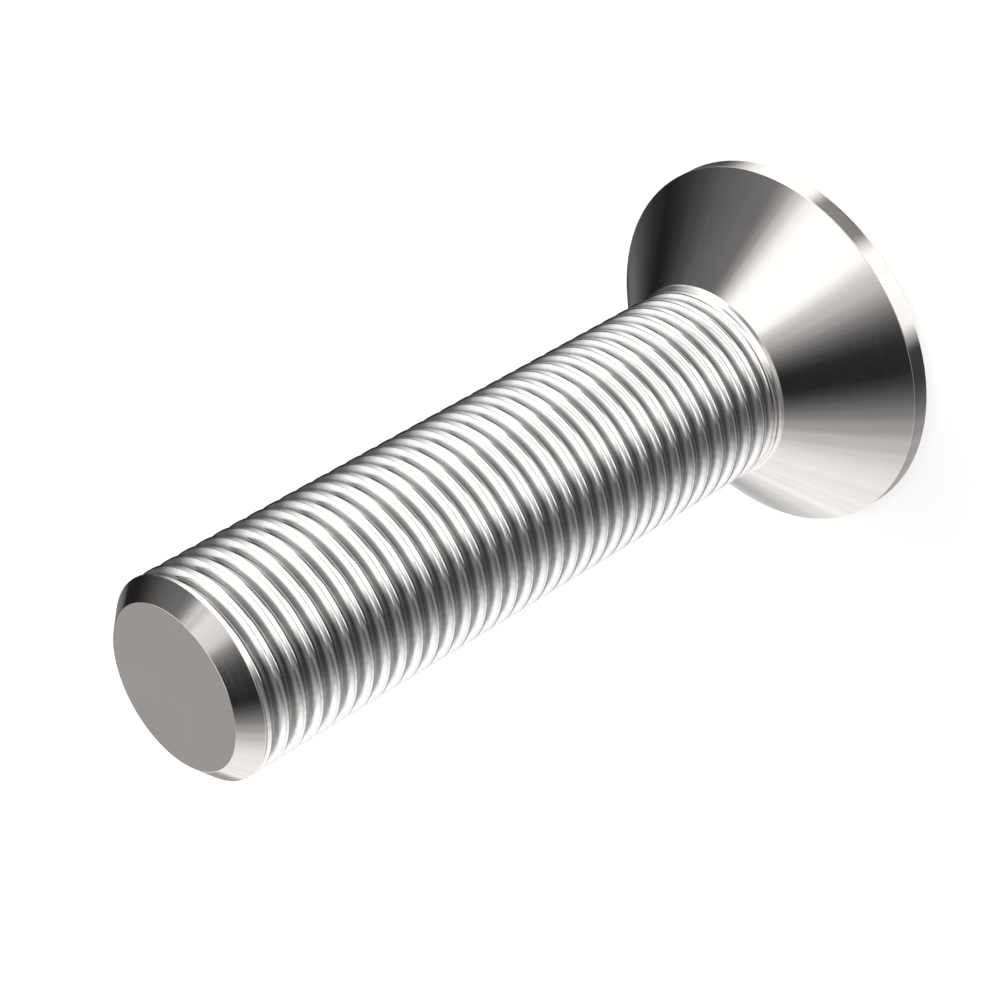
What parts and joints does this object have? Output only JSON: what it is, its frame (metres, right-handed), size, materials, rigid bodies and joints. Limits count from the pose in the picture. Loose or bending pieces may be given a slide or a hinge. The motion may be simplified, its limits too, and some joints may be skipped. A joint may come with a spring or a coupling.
{
  "type": "countersunk socket screw",
  "caption": "Steel countersunk screw with a flat conical head, a hexagon socket and a fine thread over the whole shank.",
  "frame": {"origin": "centre of the head's flat face, on which the screw stands", "axes": "+Z along the screw's axis, from the head to the tip; two opposite corners of the hexagon socket lie on X"},
  "size_m": [0.0192, 0.0192, 0.04],
  "materials": {
    "polished_steel": "polished bare steel with fine turning marks"
  },
  "bodies": {
    "root": {"screw": "polished_steel"}
  },
  "joints": []
}
